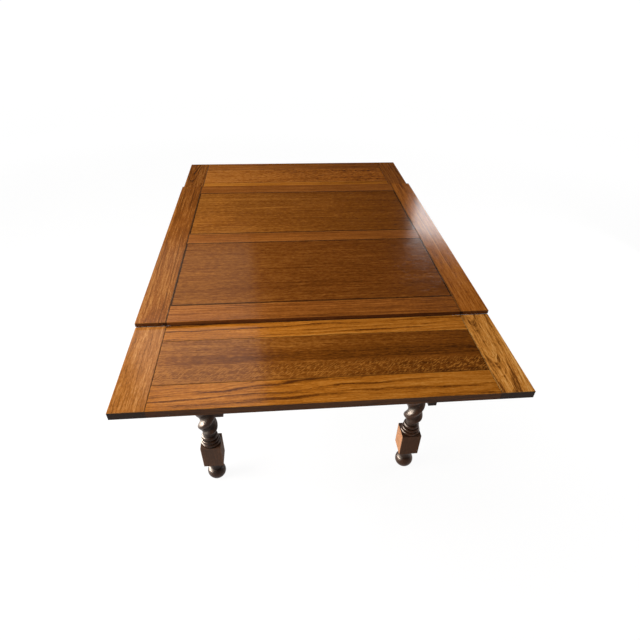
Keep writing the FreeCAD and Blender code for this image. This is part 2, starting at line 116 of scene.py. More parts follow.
class OakColours(bpy.types.PropertyGroup):
    """Stain and varnish colours of the oak, and the colours of steel and baize."""

    # Real rubbing, and painted light too: it also makes the right legs and their blocks lighter
    leg_worn: colour("Leg worn", "Rubbed wood of the legs, most on their blocks' corners", 104, 68, 44)
    # Painted light: the warm lit colour of the left-facing sides of the right legs' low blocks
    bleached: colour("Bleached", "Bleached sides of the right legs' low blocks", 216, 154, 106)
    # Real dirt, and painted shade too: it also darkens the left legs' turnings
    grime: colour("Grime", "Old polish and dirt in joints and hollows", 22, 12, 6)
    # Partly stain and partly painted shade: the darker colour of the boards' upright edges
    edge: colour("Edge", "Dark stain on the boards' edges", 42, 23, 11)
    steel: colour("Steel", "Dulled steel of the screws", 120, 116, 110)
    rust: colour("Rust", "Rust spots on the screws", 88, 52, 30)
    # Painted shade: the baize strips fill the seams dark, where the gaps are in shade
    baize: colour("Baize", "Dark baize in the seams", 30, 26, 20)
    dust: colour("Dust", "Dust on the baize", 70, 60, 48)


def stain_colours():
    """Three colours for each stain, such as stile_dark."""
    made = {}
    for stain_name, (where, *shown) in STAINS.items():
        for (level, what), levels in zip(LEVELS.items(), shown):
            title = f"{stain_name} {level}".capitalize()
            made[f"{stain_name}_{level}"] = colour(title, f"{what} of {where}", *levels)
    return made


OakColours.__annotations__.update(stain_colours())


class OakFigure(bpy.types.PropertyGroup):
    """How the grain and the varnish look."""

    pore_depth: length("Pore depth", "How deep the open pores look", 0.0004)
    varnish_roughness: share("Varnish roughness", "Roughness of the table top's varnish", 0.12)
    leg_roughness: share("Leg roughness", "Roughness of the legs' polish", 0.34)
    shine: share("Shine", "How strongly the varnish mirrors the room", 0.18)
    leg_shine: share("Leg shine", "How strongly the legs' polish mirrors the room", 0.12)
    joint_grime: share("Joint grime", "How dark the joints between boards are", 0.88)
    top_edge_stain: share("Top edge stain", "How dark the loose top's edges are", 0.4)
    leaf_edge_stain: share("Leaf edge stain", "How dark the leaves' edges are", 0.85)


class PegSizes(bpy.types.PropertyGroup):
    """Sizes of the pegs that lock the rails' tenons."""

    diameter: length("Diameter", "Diameter of a peg's head", 0.0095)
    proud: length("Proud", "How far a peg stands out of the leg", 0.0007)
    depth: length("Depth", "Length of the modelled end of a peg", 0.004)
    rim: length("Rim", "Width of the worn rim of a peg's head", 0.0008)
    inset: length("Inset", "From the leg's inner side to the lower peg's middle", 0.015)
    stagger: length("Stagger", "How much further out the upper peg is", 0.002)
    low: length("Low peg", "Height of the lower peg", 0.663)
    high: length("High peg", "Height of the upper peg", 0.703)


class BaizeSizes(bpy.types.PropertyGroup):
    """Sizes of the baize in the seams, dark strips that stand for the shade in the gaps."""

    thick: length("Thickness under the top", "Thickness of the strip under the loose top's ends", 0.00046)
    edge_cloth: length("Thickness on a leaf", "Thickness of the strip on a leaf's inner edge", 0.00068)
    width: length("Width", "Width of the strip under the top", 0.012)
    lip: length("Lip", "How far the strip under the top reaches into the seam", 0.00028)
    nap: length("Nap", "How far the strip on a leaf stands above the leaf's face", 0.00002)
    half_length: length("Half length", "From the table's middle to the strips' ends", 0.448)
    edge_thick: length("Edge thickness", "Thickness of the loose top at its ends", 0.0104)


class StudioSettings(bpy.types.PropertyGroup):
    """Camera and lights."""

    eye: bpy.props.FloatVectorProperty(
        name="Eye", description="Where the camera stands", subtype="TRANSLATION", unit="LENGTH",
        default=(-0.0917, -1.4108, 1.4613),
    )
    pitch: angle("Pitch", "How far the camera looks down", 41.084)
    yaw: angle("Yaw", "How far the camera turns right", 6.081)
    roll: angle("Roll", "How far the camera leans", 1.398)
    lens: bpy.props.FloatProperty(name="Lens", description="Focal length", unit="CAMERA", default=26.196)
    shift_up: bpy.props.FloatProperty(name="Shift", description="Upward shift of the lens", default=0.066)
    key_power: power("Key", "Soft light from the left", 66)
    window_power: power("Window", "Light that mirrors in the centre top's right stile", 14.6)
    sheen_power: power("Sheen", "Pale panel that mirrors in the near leaf's left", 38)
    haze_power: power("Haze", "Dim panel that mirrors in the centre top's left", 7.5)
    low_power: power("Low", "Warm light on the legs from the left", 30)
    fill_power: power("Fill", "Soft light on the legs from the right", 36)
    gleam_power: power("Gleam", "Light that shines only in the legs' polish", 1150)
    sky: share("Sky", "Strength of the even light from all round", 0.9)


# Nodes

def join(tree, value, socket):
    """Links a socket, or sets a plain value."""
    if isinstance(value, bpy.types.NodeSocket):
        tree.links.new(value, socket)
    else:
        socket.default_value = value


def add(tree, kind, sockets=None, **settings):
    """Adds a node with its settings and what goes into it."""
    made = tree.nodes.new(kind)
    for name, value in settings.items():
        setattr(made, name, value)
    for key, value in (sockets or {}).items():
        join(tree, value, made.inputs[key])
    return made


def calc(tree, operation, *values, clamp=False):
    """A Math node's result."""
    made = add(tree, "ShaderNodeMath", dict(enumerate(values)), operation=operation, use_clamp=clamp)
    return made.outputs[0]


def plus(tree, first, second, clamp=False):
    """One value added to another."""
    return calc(tree, "ADD", first, second, clamp=clamp)


def minus(tree, first, second):
    """The first value less the second."""
    return calc(tree, "SUBTRACT", first, second)


def times(tree, first, second, clamp=False):
    """One value multiplied by another."""
    return calc(tree, "MULTIPLY", first, second, clamp=clamp)


def vector_calc(tree, operation, first, second):
    """A Vector Math node's result."""
    return add(tree, "ShaderNodeVectorMath", {0: first, 1: second}, operation=operation).outputs[0]


def ramp(tree, value, low, high):
    """0 below low, 1 above high and smooth between; the other way round where low is the greater."""
    made = add(
        tree, "ShaderNodeMapRange", {"Value": value, "From Min": low, "From Max": high},
        interpolation_type="SMOOTHSTEP",
    )
    return made.outputs[0]


def noise(tree, vector, seed, detail=2.0, rough=0.5):
    """A noise node's outputs, different for each seed."""
    return add(
        tree, "ShaderNodeTexNoise",
        {"Vector": vector, "W": seed, "Scale": 1.0, "Detail": detail, "Roughness": rough},
        noise_dimensions="4D",
    ).outputs


def even_noise(tree, place, scale, seed, detail=2.0, rough=0.5):
    """Noise of one scale every way, per metre."""
    return noise(tree, vector_calc(tree, "MULTIPLY", place, (scale,) * 3), seed, detail, rough)[0]


def grain_noise(tree, fibres, scales, seed, detail=2.0, rough=0.5):
    """Noise outputs with one scale along the grain and another across it, per metre."""
    along, across = scales
    return noise(tree, vector_calc(tree, "MULTIPLY", fibres, (along, across, across)), seed, detail, rough)


def mix(tree, factor, first, second, blend="MIX"):
    """Two colours mixed."""
    made = add(tree, "ShaderNodeMix", data_type="RGBA", blend_type=blend)
    join(tree, factor, made.inputs[0])
    for value, socket in ((first, made.inputs[6]), (second, made.inputs[7])):
        if not isinstance(value, bpy.types.NodeSocket):
            value = (*value[:3], 1)
        join(tree, value, socket)
    return made.outputs[2]


def axes(tree, vector):
    """The three parts of a vector."""
    return add(tree, "ShaderNodeSeparateXYZ", {0: vector}).outputs


def vector_of(tree, *parts):
    """A vector of three parts."""
    return add(tree, "ShaderNodeCombineXYZ", dict(enumerate(parts))).outputs[0]


# How a board is sawn from its log

class Cut(NamedTuple):
    """Where the pith lies from a board's middle and how its grain shows; lengths are in millimetres.

    Fade is how much paler a board is made a metre along the grain: partly the wood's own tone and partly
    painted light, where one end of the board was lit more. The seed names the log.
    """

    ring_width: float
    pith_side: float
    pith_depth: float
    pith_slope: float
    wander: float
    lines: float
    streaks: float
    fade: float = 0.0
    fleck_side: float = 0.0
    fleck_width: float = 0.01
    mottle: float = 0.0
    seed: float = 0.0


CUT_LENGTHS = ("ring_width", "pith_side", "pith_depth", "wander", "fleck_side", "fleck_width")

QUARTER = Cut(4.5, 260, -40, 0.0, 14, lines=0.4, streaks=0.65)
FIGURED = QUARTER._replace(lines=0.25, streaks=0.5, mottle=0.85)
RIFT = Cut(9.0, 120, -90, 0.004, 18, lines=0.8, streaks=0.75)
STREAKED = RIFT._replace(lines=0.45, streaks=0.9)
FLAT = Cut(12.0, 48, -40, 0.012, 40, lines=1.3, streaks=0.7, fade=0.25)
PLAIN = Cut(7.0, 18, -40, -0.06, 22, lines=1.5, streaks=0.8)
LEG = Cut(3.4, 70, -55, 0.004, 10, lines=0.5, streaks=0.8)


class Board(NamedTuple):
    """A board of the top: the way its grain runs, its stain, its cut and its joints' dirt in millimetres."""

    grain: str
    stain: str
    cut: Cut
    dirt: float


def sawn(cut, seed, **changes):
    """A cut from a log of its own."""
    return cut._replace(seed=seed, **changes)


TOP_BOARDS = {
    "top_stile_left": Board("Y", "stile", sawn(RIFT, 3.1), 2.5),
    "top_stile_right": Board("Y", "chestnut", sawn(RIFT, 8.7), 2.5),
    "top_rail_front": Board("X", "russet", sawn(RIFT, 12.3, fade=-0.4), 2.5),
    "top_rail_middle": Board("X", "russet", sawn(QUARTER, 17.9, fade=-0.2), 2.5),
    "top_rail_back": Board("X", "russet", sawn(QUARTER, 21.4), 2.5),
    "top_panel_front": Board("X", "umber", sawn(FIGURED, 26.6, fade=-0.32), 6.0),
    "top_panel_back": Board("X", "panel", sawn(FIGURED, 31.2, fade=-0.45), 6.0),
}
LEAF_BOARDS = {
    "leaf_front_stile_left": Board("Y", "tan", sawn(STREAKED, 41.5), 1.2),
    "leaf_front_stile_right": Board("Y", "honey", sawn(PLAIN, 44.2), 1.5),
    "leaf_front_rail_inner": Board("X", "rail", sawn(FLAT, 47.8), 1.2),
    "leaf_front_rail_outer": Board("X", "rail", sawn(FLAT, 52.1), 1.2),
    "leaf_front_panel": Board(
        "X", "panel", sawn(FIGURED, 55.9, fade=-0.6, fleck_side=-48, fleck_width=34), 1.5
    ),
    "leaf_back_stile_left": Board("Y", "stile", sawn(PLAIN, 61.3), 2.0),
    "leaf_back_stile_right": Board("Y", "russet", sawn(RIFT, 64.6), 2.0),
    "leaf_back_rail_inner": Board("X", "rail", sawn(QUARTER, 67.2, fade=-0.5), 2.0),
    "leaf_back_rail_outer": Board("X", "russet", sawn(RIFT, 71.7, fade=-0.5), 2.0),
    "leaf_back_panel": Board("X", "chestnut", sawn(QUARTER, 75.4, fade=-0.7, mottle=1.8), 2.0),
}


# Oak's figure: noise scales are per metre, along the grain and across it

NOISE_MIDDLE = 0.5
BEND_SCALES = (1.3, 5)
BEND_ROUGHNESS = 0.45
RIPPLE_SCALES = (8, 30)
RIPPLE_STRENGTH = 0.3
RING_SIZES = ((1.0, 1.0), (0.31, 0.45))
UNEVEN_SCALE = 0.45
UNEVEN_YEARS = 3.0
SPRING_SHARPNESS = 3.0
SPRING_START = (0.0, 0.1)
LEAST_YEAR = 0.2
PORE_SCALES = (26, 1150)
PORE_RANGE = (0.54, 0.7)
PORES_IN_SPRING = 1.2
PORES_ELSEWHERE = 0.2
PORE_TONE = 0.3
STREAK_SIZES = (
    ((0.7, 14), 0.8), ((2.5, 60), 1.0), ((6, 190), 1.4), ((24, 430), 1.5), ((130, 620), 1.5),
)
STREAK_ROUGHNESS = 0.6
BREAK_SCALES = (4, 70)
BREAK_RANGE = (0.3, 0.6)
MOTTLE_SCALES = (80, 210)
FLECK_SLANT = 0.7
FLECK_SIZE = (0.0115, 0.0025, 0.0045)
FLECK_RANGE = (0.5, 0.62)
FLECK_BAND = (0.35, 1.1)
BESIDE_START, BESIDE_END = (0.8, 1.2), (2.6, 1.4)
BESIDE_SHADE = 0.22
BAND_SHADE = 0.12
MIDDLE_TONE = 0.62


def socket_name(field):
    """The figure's socket for a field of a cut: ring_width is Ring width."""
    return field.replace("_", " ").capitalize()


def wandering(tree, given):
    """Places across and through the board, bent because the log isn't straight."""
    place, seed = given["Vector"], given["Seed"]
    slow = axes(tree, grain_noise(tree, place, BEND_SCALES, seed, rough=BEND_ROUGHNESS)["Color"])
    quick = axes(tree, grain_noise(tree, place, RIPPLE_SCALES, seed)["Color"])
    moved = []
    for part, start in enumerate(axes(tree, place)[1:]):
        bend = minus(tree, slow[part], NOISE_MIDDLE)
        ripple = times(tree, minus(tree, quick[part], NOISE_MIDDLE), RIPPLE_STRENGTH)
        moved.append(plus(tree, start, times(tree, plus(tree, bend, ripple), given["Wander"])))
    return moved


def growth_rings(tree, given, along, across, through):
    """How much is spring wood, which is porous and takes most stain: rings about the pith."""
    side = minus(tree, across, given["Pith side"])
    depth = plus(tree, through, times(tree, along, given["Pith slope"]))
    depth = minus(tree, depth, given["Pith depth"])
    reach = calc(tree, "SQRT", plus(tree, times(tree, side, side), times(tree, depth, depth)))
    spring = 0.0
    for part, weight in RING_SIZES:
        years = calc(tree, "DIVIDE", reach, times(tree, given["Ring width"], part))
        scaled = vector_of(tree, times(tree, years, UNEVEN_SCALE), 0.0, 0.0)
        uneven = noise(tree, scaled, given["Seed"], detail=1)[0]
        years = plus(tree, years, times(tree, uneven, UNEVEN_YEARS))
        season = calc(tree, "FRACT", years)
        year = plus(tree, calc(tree, "FLOOR", years), given["Seed"])
        chance = add(tree, "ShaderNodeTexWhiteNoise", {"W": year}, noise_dimensions="1D").outputs[0]
        early = calc(tree, "POWER", minus(tree, 1.0, season), SPRING_SHARPNESS)
        early = times(tree, early, ramp(tree, season, *SPRING_START))
        early = times(tree, early, plus(tree, times(tree, chance, 1 - LEAST_YEAR), LEAST_YEAR))
        spring = plus(tree, spring, times(tree, early, weight))
    return spring


def fine_grain(tree, given, fibres, spring):
    """The pores, and the grain's tone from streaks and growth lines."""
    seed = given["Seed"]
    pores = ramp(tree, grain_noise(tree, fibres, PORE_SCALES, seed, detail=1)[0], *PORE_RANGE)
    crowd = plus(tree, times(tree, spring, PORES_IN_SPRING), PORES_ELSEWHERE)
    pores = times(tree, pores, crowd, clamp=True)
    streaks = 0.0
    for scales, weight in STREAK_SIZES:
        drawn = grain_noise(tree, fibres, scales, seed, detail=3, rough=STREAK_ROUGHNESS)[0]
        streaks = plus(tree, streaks, times(tree, minus(tree, drawn, NOISE_MIDDLE), weight))
    broken = ramp(tree, grain_noise(tree, fibres, BREAK_SCALES, seed)[0], *BREAK_RANGE)
    lines = times(tree, times(tree, spring, broken), given["Lines"])
    return pores, minus(tree, times(tree, streaks, given["Streaks"]), lines)


def ray_flecks(tree, given, fibres, across):
    """Flecks in a band where the saw ran towards the pith, and the shade of the band and beside it."""
    slanted = add(
        tree, "ShaderNodeMapping", {"Vector": fibres, "Rotation": (0, 0, FLECK_SLANT), "Scale": FLECK_SIZE},
        vector_type="TEXTURE",
    )
    spot = ramp(tree, noise(tree, slanted.outputs[0], given["Seed"], detail=1)[0], *FLECK_RANGE)
    from_band = calc(tree, "ABSOLUTE", minus(tree, across, given["Fleck side"]))
    from_band = calc(tree, "DIVIDE", from_band, given["Fleck width"])
    band = minus(tree, 1.0, ramp(tree, from_band, *FLECK_BAND))
    beside = times(tree, ramp(tree, from_band, *BESIDE_START), ramp(tree, from_band, *BESIDE_END))
    shade = plus(tree, times(tree, beside, BESIDE_SHADE), times(tree, band, BAND_SHADE))
    return times(tree, spot, band), shade


def oak_figure():
    """The solid figure of a board: along the grain is X, across the face Y, through the board Z."""
    tree = bpy.data.node_groups.new("oak_figure", "ShaderNodeTree")
    tree.interface.new_socket("Vector", in_out="INPUT", socket_type="NodeSocketVector")
    for field in Cut._fields:
        tree.interface.new_socket(socket_name(field), in_out="INPUT", socket_type="NodeSocketFloat")
    given = tree.nodes.new("NodeGroupInput").outputs

    along = axes(tree, given["Vector"])[0]
    across, through = wandering(tree, given)
    fibres = vector_of(tree, along, across, through)
    spring = growth_rings(tree, given, along, across, through)
    pores, grain = fine_grain(tree, given, fibres, spring)
    flecks, shade = ray_flecks(tree, given, fibres, across)
    speckle = grain_noise(tree, fibres, MOTTLE_SCALES, given["Seed"], rough=STREAK_ROUGHNESS)[0]
    tone = minus(tree, grain, times(tree, pores, PORE_TONE))
    # The fade along the grain: partly the wood's own tone, partly painted light on the more lit end
    tone = plus(tree, tone, times(tree, along, given["Fade"]))
    tone = plus(tree, tone, times(tree, minus(tree, speckle, NOISE_MIDDLE), given["Mottle"]))
    tone = plus(tree, minus(tree, tone, shade), MIDDLE_TONE, clamp=True)

    results = {"Tone": tone, "Grain": grain, "Pores": pores, "Flecks": flecks}
    for name in results:
        tree.interface.new_socket(name, in_out="OUTPUT", socket_type="NodeSocketFloat")
    taken = tree.nodes.new("NodeGroupOutput").inputs
    for name, value in results.items():
        join(tree, value, taken[name])
    return tree


# The turn that lays each grain direction along X
TURNS = {"X": (0, 0, 0), "Y": (0, 0, -math.pi / 2), "Z": (0, math.pi / 2, 0)}


def board_vector(tree, place, node, grain):
    """Places on the board: from its middle, with X along the grain."""
    low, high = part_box(node)
    turn = Matrix.Rotation(TURNS[grain][1], 3, "Y") @ Matrix.Rotation(TURNS[grain][2], 3, "Z")
    middle = turn @ ((low + high) / 2)
    return add(
        tree, "ShaderNodeMapping", {"Vector": place, "Rotation": TURNS[grain], "Location": tuple(-middle)}
    ).outputs[0]


def figure(tree, place, node, grain, cut):
    """The oak's figure on one board."""
    group = bpy.data.node_groups.get("oak_figure") or oak_figure()
    values = {"Vector": board_vector(tree, place, node, grain)}
    for field, value in cut._asdict().items():
        values[socket_name(field)] = value * MILLIMETRE if field in CUT_LENGTHS else value
    return add(tree, "ShaderNodeGroup", values, node_tree=group).outputs


# Finishes

class Polish(NamedTuple):
    """A polish's roughness and how strongly it mirrors the room."""

    roughness: float
    shine: float


RAIL_POLISH = Polish(0.36, 0.14)
PLANED = Polish(0.6, 0.1)
LOPER_POLISH = Polish(0.5, 0.12)
PEG_POLISH = Polish(0.4, 0.12)
MIDDLE_STOP = 0.55


def new_material(name, shine=0.5):
    """An empty material with its shader; shine is how strongly it mirrors the room."""
    made = bpy.data.materials.new(name)
    made.use_nodes = True
    tree = made.node_tree
    tree.nodes.clear()
    shader = add(tree, "ShaderNodeBsdfPrincipled", {"Specular IOR Level": shine})
    output = tree.nodes.new("ShaderNodeOutputMaterial")
    tree.links.new(shader.outputs[0], output.inputs["Surface"])
    return made, tree, shader


def stain(colours, name):
    """A stain's dark, middle and light colours."""
    return tuple(tuple(getattr(colours, f"{name}_{level}")) for level in LEVELS)


def stained(tree, tone, dark, mid, light):
    """The stain's colour for a tone from 0 to 1."""
    made = add(tree, "ShaderNodeValToRGB", {0: tone})
    stops = made.color_ramp
    stops.elements[0].color = (*dark, 1)
    stops.elements[1].color = (*light, 1)
    stops.elements.new(MIDDLE_STOP).color = (*mid, 1)
    return made.outputs[0]


def paint(tree, shader, ground, rough):
    """Sets a shader's colour and roughness."""
    join(tree, ground, shader.inputs["Base Color"])
    join(tree, rough, shader.inputs["Roughness"])


def relief(tree, shader, height, distance, strength):
    """Bump from a height."""
    made = add(tree, "ShaderNodeBump", {"Height": height, "Distance": distance, "Strength": strength})
    join(tree, made.outputs[0], shader.inputs["Normal"])


# Varnish of the top: a face's rise is 0 where it is upright and 1 where it is level

FLECK_STRENGTH = 0.75
CLOUD_SCALE = 5
CLOUD_LEVELS = (0.82, 1.0, 1.18)
WEAR_SCALE = 60
DIRT_CORE = 0.4
DIRT_RAGGED = 0.5
ARRIS_START, ARRIS_END = (0.45, 0.65), (0.95, 0.8)
ARRIS_WEAR = 0.7
EDGE_RISE = (0.25, 0.8)
END_GRAIN = (0.6, 0.9)
UNDERSIDE = (-0.5, -0.9)
SMEAR_SCALE = 14
SMEAR_ROUGHNESS = 0.1
PORE_ROUGHNESS = 0.1
BARE_ROUGHNESS = 0.5
GRAIN_HEIGHT = 0.35
VARNISH_RELIEF = 0.1


def joint_dirt(tree, place, sight, wear, width):
    """1 in the joints round the face that shows, with a ragged inner edge."""
    low, high = sight
    inside = vector_calc(tree, "SUBTRACT", place, (*low, 0))
    beyond = vector_calc(tree, "SUBTRACT", (*high, 0), place)
    nearest = axes(tree, vector_calc(tree, "MINIMUM", inside, beyond))
    gap = calc(tree, "MINIMUM", nearest[0], nearest[1])
    ragged = plus(tree, gap, times(tree, minus(tree, wear, NOISE_MIDDLE), DIRT_RAGGED * width))
    return minus(tree, 1.0, ramp(tree, ragged, DIRT_CORE * width, width))


def top_board(context, node, board, sight, edge_stain):
    """Varnished oak for one board of the top, with dirt in its joints and dark edges, partly stained and
    partly painted shade.
    """
    settings, colours = context.scene.oak_figure, context.scene.oak_colours
    made, tree, shader = new_material(node + "_oak", settings.shine)
    read = add(tree, "ShaderNodeTexCoord").outputs
    place, normal = read["Object"], axes(tree, read["Normal"])
    seed = board.cut.seed
    oak = figure(tree, place, node, board.grain, board.cut)
    tones = stain(colours, board.stain)
    palest = tones[-1]
    ground = stained(tree, oak["Tone"], *tones)
    ground = mix(tree, times(tree, oak["Flecks"], FLECK_STRENGTH), ground, palest)

    # Slow changes of the stain, and dirt in the joints
    cloud = even_noise(tree, place, CLOUD_SCALE, seed)
    shift = stained(tree, cloud, *((level,) * 3 for level in CLOUD_LEVELS))
    ground = mix(tree, 1.0, ground, shift, "MULTIPLY")
    wear = even_noise(tree, place, WEAR_SCALE, seed)
    dirt = joint_dirt(tree, place, sight, wear, board.dirt * MILLIMETRE)
    ground = mix(tree, times(tree, dirt, settings.joint_grime), ground, colours.grime)

    # Arrises are rubbed pale; upright edges are darker, partly from more stain and partly painted shade;
    # ends took the most stain
    rise = calc(tree, "ABSOLUTE", normal[2])
    arris = times(tree, ramp(tree, rise, *ARRIS_START), ramp(tree, rise, *ARRIS_END))
    ground = mix(tree, times(tree, arris, times(tree, wear, ARRIS_WEAR)), ground, palest)
    edge = minus(tree, 1.0, ramp(tree, rise, *EDGE_RISE))
    end = ramp(tree, calc(tree, "ABSOLUTE", normal["XYZ".index(board.grain)]), *END_GRAIN)
    ground = mix(tree, times(tree, edge, edge_stain), ground, colours.edge)
    ground = mix(tree, times(tree, end, edge_stain), ground, colours.grime)

    # Undersides were never varnished
    under = ramp(tree, normal[2], *UNDERSIDE)
    ground = mix(tree, under, ground, stained(tree, oak["Tone"], *stain(colours, "inner")))

    smear = even_noise(tree, place, SMEAR_SCALE, seed, detail=3, rough=0.6)
    smoothest = settings.varnish_roughness - SMEAR_ROUGHNESS / 2
    rough = plus(tree, smoothest, times(tree, smear, SMEAR_ROUGHNESS))
    rough = plus(tree, rough, times(tree, oak["Pores"], PORE_ROUGHNESS))
    rough = plus(tree, rough, times(tree, calc(tree, "MAXIMUM", under, edge), BARE_ROUGHNESS))
    paint(tree, shader, ground, rough)
    height = minus(tree, times(tree, oak["Grain"], GRAIN_HEIGHT), oak["Pores"])
    relief(tree, shader, height, settings.pore_depth, VARNISH_RELIEF)
    return made


# Polish of the legs: distances from a leg's axis and heights are in millimetres

HOLLOW_REACH = (21, 29)
CREST_REACH = (29, 33)
BLOCK_REACH = (33.4, 33.9)
CORNER_REACH = (44.5, 47)
LOW_BLOCK_TOP = (210, 200)
RUB_SCALE = 40
LEAST_HOLLOW = 0.3
LEAST_CORNER = 0.2
LEAST_SIDE_LIGHT, SIDE_LIGHT_CHANGE = 0.55, 0.5
HOLLOW_DIRT = 0.75
CREST_WEAR = 0.35
CORNER_WEAR = 0.5
BLOCK_WEAR = 0.09
RIGHT_BLOCK_LIGHTER = 0.05
RIGHT_LEG_LIGHTER = 0.22
LEFT_TURNING_DARKER = 0.4
SUNNY_SIDE = (0.8, 0.97)
LIT_SIDE_LEVELS = (0.55, 1.0, 1.2)
HOLLOW_ROUGHNESS = 0.2
BLOCK_ROUGHNESS = 0.4
LEG_PORE_ROUGHNESS = 0.15
LEG_RELIEF = 0.3


def leg_oak(context, node, cut, bleach):
    """Dark polished oak for one leg: worn crests, dirty hollows, and painted light and shade by side: a
    right leg lighter, with a lit low block side, and a left leg's turnings darker.
    """
    settings, colours = context.scene.oak_figure, context.scene.oak_colours
    made, tree, shader = new_material(node + "_oak", settings.leg_shine)
    read = add(tree, "ShaderNodeTexCoord").outputs
    place = read["Object"]
    oak = figure(tree, place, node, "Z", cut)
    ground = stained(tree, oak["Tone"], *stain(colours, "leg"))
    # Painted light: a right leg is painted lighter all over
    ground = mix(tree, RIGHT_LEG_LIGHTER * bleach, ground, colours.leg_worn)

    # The distance from the leg's axis tells hollows, crests, blocks and corners apart
    low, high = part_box(node)
    middle = (low + high) / 2
    x, y, z = axes(tree, place)
    aside = minus(tree, x, middle.x), minus(tree, y, middle.y)
    reach = calc(tree, "SQRT", plus(tree, *(times(tree, part, part) for part in aside)))

    def past(value, bounds):
        """A ramp between two bounds in millimetres."""
        return ramp(tree, value, *(bound * MILLIMETRE for bound in bounds))

    rubbed = even_noise(tree, place, RUB_SCALE, cut.seed, detail=3)
    hollow = minus(tree, 1.0, past(reach, HOLLOW_REACH))
    hollow = times(tree, hollow, plus(tree, rubbed, LEAST_HOLLOW), clamp=True)
    ground = mix(tree, times(tree, hollow, HOLLOW_DIRT), ground, colours.grime)
    crest = times(tree, past(reach, CREST_REACH), rubbed)
    ground = mix(tree, times(tree, crest, CREST_WEAR), ground, colours.leg_light)
    block = past(reach, BLOCK_REACH)
    # Blocks are rubbed paler; a right leg's blocks are painted lighter still and a left leg's turnings
    # darker, as painted light and shade
    ground = mix(tree, times(tree, block, BLOCK_WEAR + RIGHT_BLOCK_LIGHTER * bleach), ground, colours.leg_worn)
    turned = minus(tree, 1.0, block)
    ground = mix(tree, times(tree, turned, LEFT_TURNING_DARKER * (1 - bleach)), ground, colours.grime)

    # Painted light: on a right leg, the low block's left-facing side is painted in pale warm lit colours,
    # where light from the left falls
    sunny = times(tree, axes(tree, read["Normal"])[0], -1.0)
    lit_side = times(tree, times(tree, block, past(z, LOW_BLOCK_TOP)), ramp(tree, sunny, *SUNNY_SIDE))
    pale = times(tree, plus(tree, times(tree, rubbed, SIDE_LIGHT_CHANGE), LEAST_SIDE_LIGHT), bleach)
    tones = ((level * part for part in colours.bleached) for level in LIT_SIDE_LEVELS)
    lit_wood = stained(tree, oak["Tone"], *tones)
    ground = mix(tree, times(tree, lit_side, pale, clamp=True), ground, lit_wood)
    corner = times(tree, past(reach, CORNER_REACH), plus(tree, rubbed, LEAST_CORNER))
    ground = mix(tree, times(tree, corner, CORNER_WEAR), ground, colours.leg_worn)

    dull = plus(tree, times(tree, hollow, HOLLOW_ROUGHNESS), times(tree, block, BLOCK_ROUGHNESS))
    rough = plus(tree, settings.leg_roughness, dull)
    rough = plus(tree, rough, times(tree, oak["Pores"], LEG_PORE_ROUGHNESS))
    paint(tree, shader, ground, rough)
    relief(tree, shader, minus(tree, 0.0, oak["Pores"]), settings.pore_depth, LEG_RELIEF)
    return made


# Plain wood, steel and baize

PLAIN_CLOUD_SCALE = 9
PLAIN_CLOUD_RANGE = (0.5, 0.75)
PLAIN_CLOUD_GRIME = 0.4
PLAIN_PORE_ROUGHNESS = 0.2
PLAIN_RELIEF = 0.4
RUST_SCALE = 300
RUST_RANGE = (0.5, 0.68)
RUST_COVER = 0.8
RUST_ROUGHNESS = 0.4
STEEL_ROUGHNESS = 0.36
NAP_SCALE = 900
NAP_HEIGHT = 0.3 * MILLIMETRE
NAP_RELIEF = 0.6
DUST_SCALE = 30
DUST_COVER = 0.3
BAIZE_POLISH = Polish(0.95, 0.1)


def plain_oak(context, name, node, grain, stain_name, cut, polish):
    """Oak without joints to show: rails of the frame, lopers, pegs and the wood inside."""
    settings, colours = context.scene.oak_figure, context.scene.oak_colours
    made, tree, shader = new_material(name, polish.shine)
    place = add(tree, "ShaderNodeTexCoord").outputs["Object"]
    oak = figure(tree, place, node, grain, cut)
    ground = stained(tree, oak["Tone"], *stain(colours, stain_name))
    cloud = ramp(tree, even_noise(tree, place, PLAIN_CLOUD_SCALE, cut.seed, detail=3), *PLAIN_CLOUD_RANGE)
    ground = mix(tree, times(tree, cloud, PLAIN_CLOUD_GRIME), ground, colours.grime)
    rough = plus(tree, polish.roughness, times(tree, oak["Pores"], PLAIN_PORE_ROUGHNESS))
    paint(tree, shader, ground, rough)
    relief(tree, shader, minus(tree, 0.0, oak["Pores"]), settings.pore_depth, PLAIN_RELIEF)
    return made


def dulled_steel(colours):
    """Old screw steel with spots of rust."""
    made, tree, shader = new_material("dulled_steel")
    place = add(tree, "ShaderNodeTexCoord").outputs["Object"]
    rust = ramp(tree, even_noise(tree, place, RUST_SCALE, seed=3.0, detail=3), *RUST_RANGE)
    rough = plus(tree, STEEL_ROUGHNESS, times(tree, rust, RUST_ROUGHNESS))
    paint(tree, shader, mix(tree, rust, colours.steel, colours.rust), rough)
    join(tree, minus(tree, 1.0, times(tree, rust, RUST_COVER)), shader.inputs["Metallic"])
    return made


def seam_shade_baize(colours):
    """Dusty dark baize with a short nap; painted shade, as it fills the seams where the gaps are in shade.
    """
    made, tree, shader = new_material("baize", BAIZE_POLISH.shine)
    place = add(tree, "ShaderNodeTexCoord").outputs["Object"]
    nap = even_noise(tree, place, NAP_SCALE, seed=5.0, detail=3, rough=0.7)
    dust = even_noise(tree, place, DUST_SCALE, seed=7.0)
    cloth = mix(tree, nap, colours.grime, colours.baize)
    cloth = mix(tree, times(tree, dust, DUST_COVER), cloth, colours.dust)
    paint(tree, shader, cloth, BAIZE_POLISH.roughness)
    relief(tree, shader, nap, NAP_HEIGHT, NAP_RELIEF)
    return made


# Which part of a board shows

def dress(node, material):
    """Gives a CAD node its material."""
    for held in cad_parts[node].material_slots:
        held.material = material


def plan_box(node):
    """A node's box seen from above."""
    low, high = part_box(node)
    return [low.x, low.y], [high.x, high.y]


